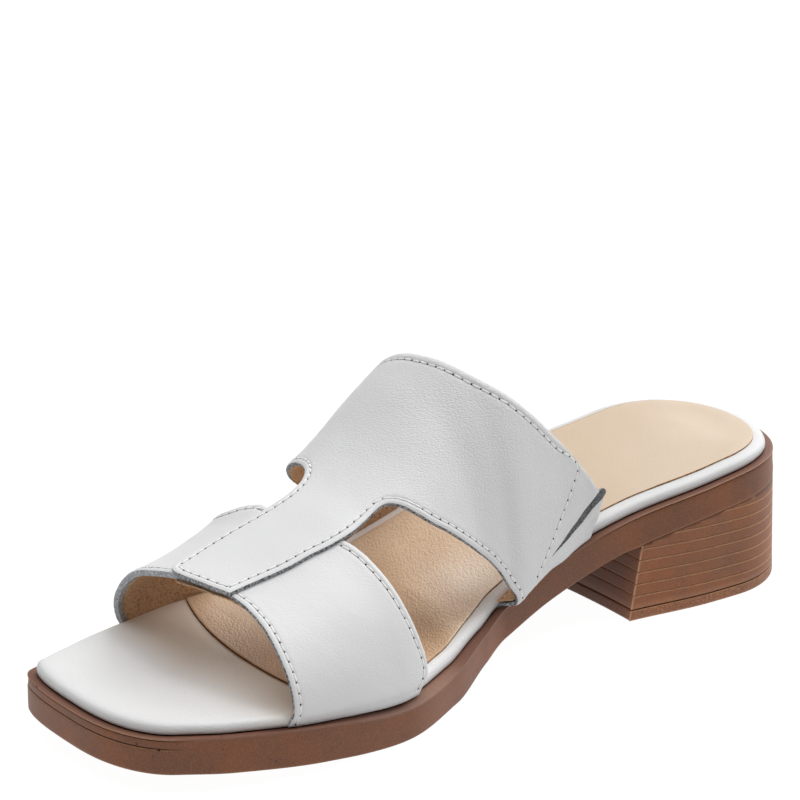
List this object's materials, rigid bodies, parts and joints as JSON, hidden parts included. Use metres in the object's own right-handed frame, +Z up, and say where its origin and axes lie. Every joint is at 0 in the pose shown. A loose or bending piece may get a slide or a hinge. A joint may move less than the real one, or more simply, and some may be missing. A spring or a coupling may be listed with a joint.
{
  "type": "slide sandal",
  "caption": "Slide sandal with a square open toe, leather straps with side windows and a low block heel.",
  "frame": {"origin": "centre of the sandal's box in plan, on the floor under the sole", "axes": "+Z up, +Y towards the heel, -Y towards the toe, +X towards the inner side of the foot"},
  "size_m": [0.0978, 0.2622, 0.084],
  "materials": {
    "sole": "matt brown moulding",
    "heel": "brown, grooved like stacked leather",
    "footbed": "smooth white leather",
    "sock": "natural tan lining leather",
    "upper": "fine-grained white leather"
  },
  "bodies": {
    "root": {"outsole": "sole", "heel_block": "heel", "heel_lift": "sole", "footbed": "footbed", "sock_lining": "sock", "upper": "upper"}
  },
  "joints": []
}
